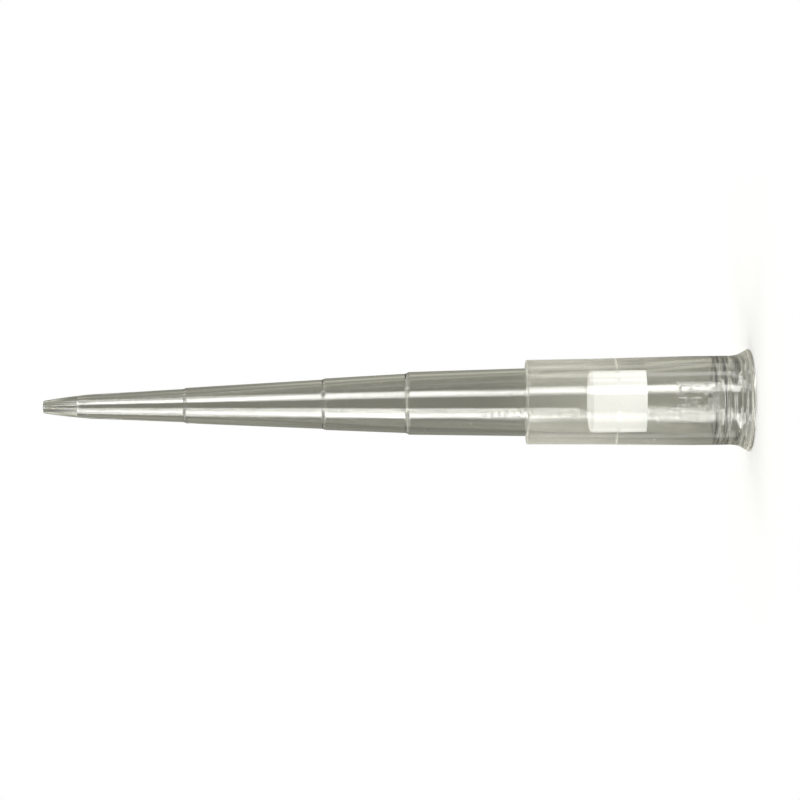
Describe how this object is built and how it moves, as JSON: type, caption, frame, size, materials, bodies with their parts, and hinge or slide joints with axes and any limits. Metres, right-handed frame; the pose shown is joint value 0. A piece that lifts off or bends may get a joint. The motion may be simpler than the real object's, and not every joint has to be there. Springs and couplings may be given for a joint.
{
  "type": "filter pipette tip",
  "caption": "Clear tapered plastic pipette tip with a stepped cone, a fine point, a thick collar with a flared mouth, and a white porous filter plug inside.",
  "frame": {"origin": "centre of the mouth rim's face, on which the tip stands", "axes": "+Z along the axis from the mouth to the fine point; X and Y are alike"},
  "size_m": [0.0074, 0.0074, 0.051],
  "materials": {
    "clear_plastic": "clear, faintly olive-grey moulded polypropylene, polished",
    "porous_white": "sintered porous polyethylene, fine dull grain"
  },
  "bodies": {
    "root": {"tip_body": "clear_plastic", "filter": "porous_white"}
  },
  "joints": []
}
